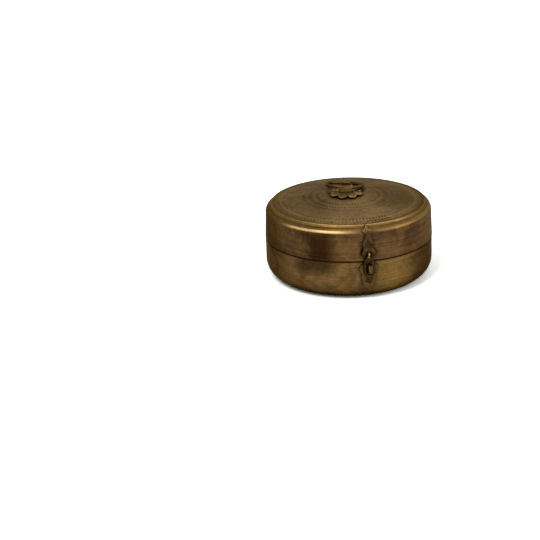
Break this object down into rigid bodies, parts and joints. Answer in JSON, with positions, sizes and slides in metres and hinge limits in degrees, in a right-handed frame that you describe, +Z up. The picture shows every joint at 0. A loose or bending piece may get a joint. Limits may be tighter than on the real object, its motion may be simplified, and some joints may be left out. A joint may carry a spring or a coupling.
{
  "type": "chapati box",
  "caption": "Round brass bread box with a domed lid hinged at the back, a hasp over a padlock staple and a ring handle.",
  "frame": {"origin": "centre of the flat base, on the surface that the box stands on", "axes": "+Z up along the box's axis, -Y towards the hasp, +Y towards the lid hinge"},
  "size_m": [0.2206, 0.2376, 0.1232],
  "materials": {
    "body_brass": "aged, brushed",
    "lid_brass": "aged, engraved",
    "inner_brass": "dull",
    "hardware_brass": "aged, dark",
    "copper": "hammered copper"
  },
  "bodies": {
    "box": {"body_shell": "body_brass", "body_collar": "inner_brass", "staple_plate": "hardware_brass", "staple": "hardware_brass", "staple_plate_rivet": "copper", "body_rivet_burrs": "copper", "body_hinge_leaf": "hardware_brass", "body_hinge_rivets": "copper", "hinge_pin": "hardware_brass"},
    "lid": {"lid_wall": "lid_brass", "lid_top_disc": "lid_brass", "lid_hasp_plate": "hardware_brass", "lid_plate_rivet_upper": "copper", "lid_plate_rivet_lower": "copper", "lid_rivet_burrs": "copper", "hasp_pin": "hardware_brass", "lid_hinge_leaf": "hardware_brass", "lid_hinge_rivets": "copper", "rosette": "hardware_brass", "ring_strap": "hardware_brass", "strap_washer": "hardware_brass"},
    "hasp": {"hasp": "hardware_brass"},
    "ring": {"ring_handle": "hardware_brass"}
  },
  "joints": [
    {"name": "lid_hinge", "type": "hinge", "parent": "box", "child": "lid", "pos_m": [0, 0.114, 0.0532], "axis": [-1, 0, 0], "range_deg": [0, 105]},
    {"name": "hasp_swing", "type": "hinge", "parent": "lid", "child": "hasp", "pos_m": [0, -0.1134, 0.064], "axis": [-1, 0, 0], "range_deg": [0, 160]},
    {"name": "ring_swing", "type": "hinge", "parent": "lid", "child": "ring", "pos_m": [-0.0025, 0.0004, 0.1174], "axis": [0.9853, -0.1561, -0.0698], "range_deg": [0, 198]}
  ]
}
